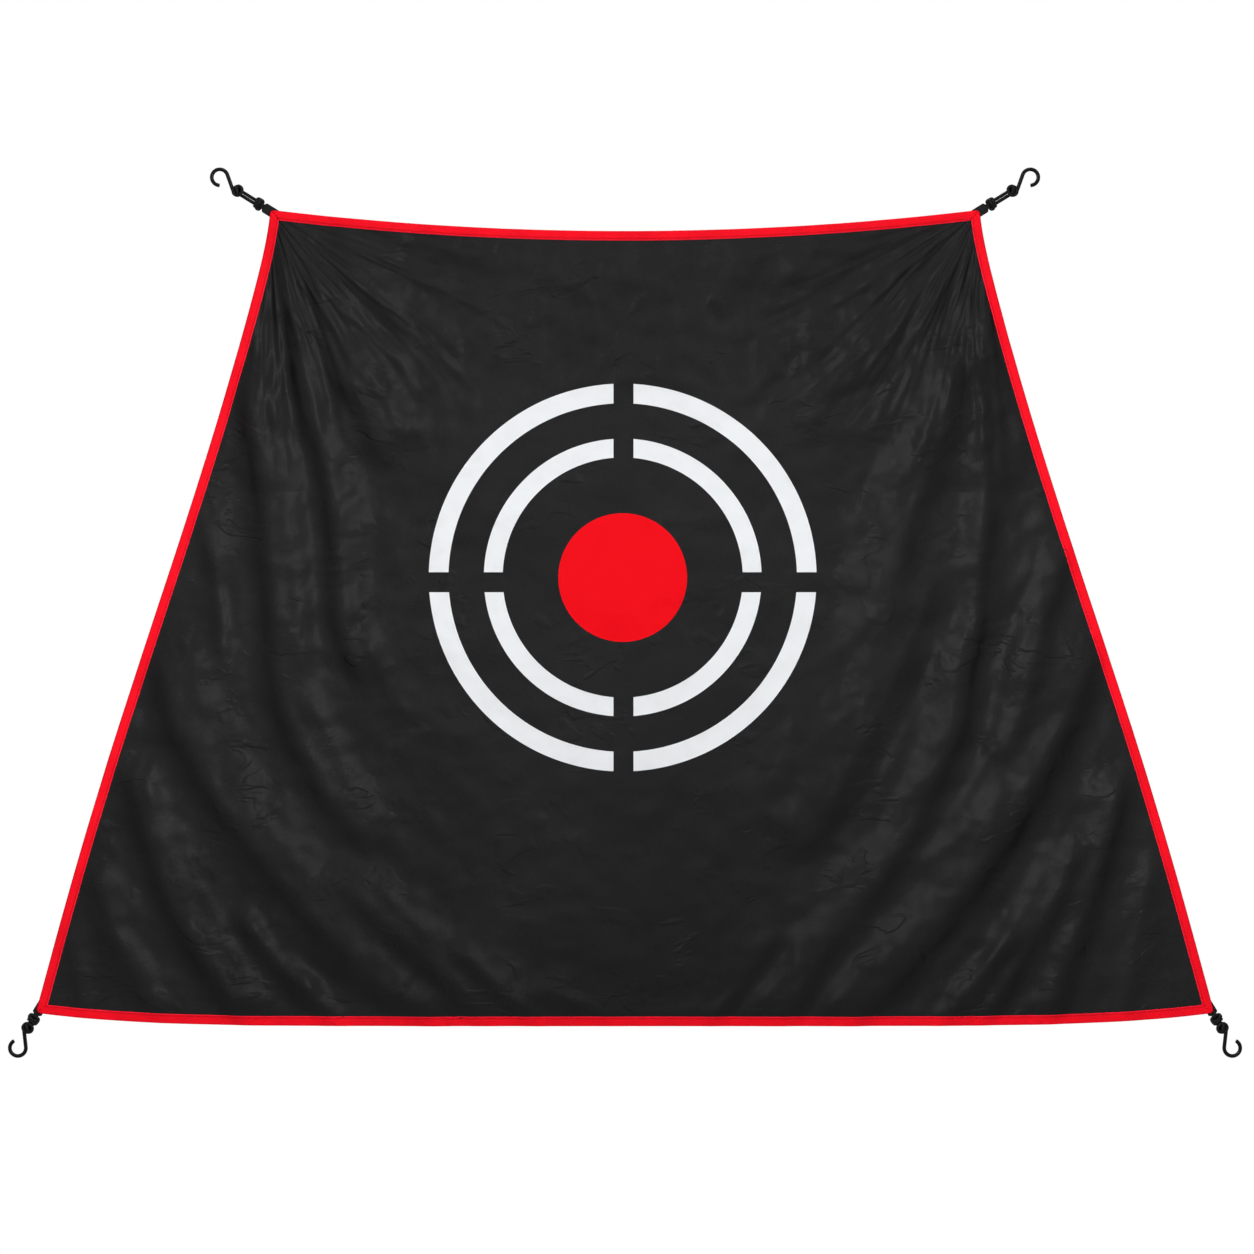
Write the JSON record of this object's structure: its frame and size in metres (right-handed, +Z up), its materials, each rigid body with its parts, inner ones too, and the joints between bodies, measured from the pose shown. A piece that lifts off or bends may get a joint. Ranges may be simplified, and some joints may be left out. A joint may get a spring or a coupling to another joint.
{
  "type": "golf chipping target",
  "caption": "Trapezoid hanging target cloth with a bound edge, printed split rings and bull's-eye, and a wire hook on an elastic loop at each corner.",
  "frame": {"origin": "middle of the whole part, in the plane of the hanging cloth", "axes": "+X to the right and +Z up as the printed front is looked at, +Y through the cloth to its back"},
  "size_m": [1.5722, 0.0174, 1.1344],
  "materials": {
    "cloth": "matt woven polyester, lightly creased",
    "white_print": "matt screen-printed ink",
    "red_print": "matt screen-printed ink",
    "binding": "folded polyester tape, stitched along its inner edge",
    "webbing": "narrow woven webbing",
    "thread": "bar of sewing thread",
    "elastic": "rubber strands in a tight braided sleeve, satin",
    "coated_wire": "steel wire in a smooth black plastic coating, satin"
  },
  "bodies": {
    "cloth": {"cloth_panel": "cloth", "outer_ring_print": "white_print", "inner_ring_print": "white_print", "bullseye_print": "red_print", "binding_top": "binding", "binding_bottom": "binding", "binding_left": "binding", "binding_right": "binding", "upper_left_tab": "webbing", "upper_right_tab": "webbing", "lower_left_tab": "webbing", "lower_right_tab": "webbing", "tab_tacks": "thread"},
    "upper_left_cord": {"upper_left_tab_knot": "elastic", "upper_left_strands": "elastic"},
    "upper_left_pull": {"upper_left_hook_knot": "elastic"},
    "upper_left_hook": {"upper_left_hook": "coated_wire"},
    "upper_right_cord": {"upper_right_tab_knot": "elastic", "upper_right_strands": "elastic"},
    "upper_right_pull": {"upper_right_hook_knot": "elastic"},
    "upper_right_hook": {"upper_right_hook": "coated_wire"},
    "lower_left_cord": {"lower_left_tab_knot": "elastic", "lower_left_strands": "elastic"},
    "lower_left_pull": {"lower_left_hook_knot": "elastic"},
    "lower_left_hook": {"lower_left_hook": "coated_wire"},
    "lower_right_cord": {"lower_right_tab_knot": "elastic", "lower_right_strands": "elastic"},
    "lower_right_pull": {"lower_right_hook_knot": "elastic"},
    "lower_right_hook": {"lower_right_hook": "coated_wire"}
  },
  "joints": [
    {"name": "upper_left_cord_fold", "type": "hinge", "parent": "cloth", "child": "upper_left_cord", "pos_m": [-0.46287, 0.0023, 0.51642], "axis": [-0.5299, 0, -0.848], "range_deg": [-90, 90]},
    {"name": "upper_left_cord_stretch", "type": "slide", "parent": "upper_left_cord", "child": "upper_left_pull", "axis": [-0.848, 0, 0.5299], "range_m": [0, 0.025], "stiffness_N_per_m": 300, "deforming": ["upper_left_strands"]},
    {"name": "upper_left_hook_swing", "type": "hinge", "parent": "upper_left_pull", "child": "upper_left_hook", "pos_m": [-0.49425, 0.0023, 0.53603], "axis": [0, 1, 0], "range_deg": [-60, 60]},
    {"name": "upper_right_cord_fold", "type": "hinge", "parent": "cloth", "child": "upper_right_cord", "pos_m": [0.46287, 0.0023, 0.51642], "axis": [0.5299, 0, -0.848], "range_deg": [-90, 90]},
    {"name": "upper_right_cord_stretch", "type": "slide", "parent": "upper_right_cord", "child": "upper_right_pull", "axis": [0.848, 0, 0.5299], "range_m": [0, 0.025], "stiffness_N_per_m": 300, "deforming": ["upper_right_strands"]},
    {"name": "upper_right_hook_swing", "type": "hinge", "parent": "upper_right_pull", "child": "upper_right_hook", "pos_m": [0.49425, 0.0023, 0.53603], "axis": [0, 1, 0], "range_deg": [-60, 60]},
    {"name": "lower_left_cord_fold", "type": "hinge", "parent": "cloth", "child": "lower_left_cord", "pos_m": [-0.75124, 0.0023, -0.51578], "axis": [-0.848, 0, 0.5299], "range_deg": [-90, 90]},
    {"name": "lower_left_cord_stretch", "type": "slide", "parent": "lower_left_cord", "child": "lower_left_pull", "axis": [-0.5299, 0, -0.848], "range_m": [0, 0.008], "stiffness_N_per_m": 300, "deforming": ["lower_left_strands"]},
    {"name": "lower_left_hook_swing", "type": "hinge", "parent": "lower_left_pull", "child": "lower_left_hook", "pos_m": [-0.76104, 0.0023, -0.53147], "axis": [0, 1, 0], "range_deg": [-60, 60]},
    {"name": "lower_right_cord_fold", "type": "hinge", "parent": "cloth", "child": "lower_right_cord", "pos_m": [0.75124, 0.0023, -0.51578], "axis": [0.848, 0, 0.5299], "range_deg": [-90, 90]},
    {"name": "lower_right_cord_stretch", "type": "slide", "parent": "lower_right_cord", "child": "lower_right_pull", "axis": [0.5299, 0, -0.848], "range_m": [0, 0.008], "stiffness_N_per_m": 300, "deforming": ["lower_right_strands"]},
    {"name": "lower_right_hook_swing", "type": "hinge", "parent": "lower_right_pull", "child": "lower_right_hook", "pos_m": [0.76104, 0.0023, -0.53147], "axis": [0, 1, 0], "range_deg": [-60, 60]}
  ]
}
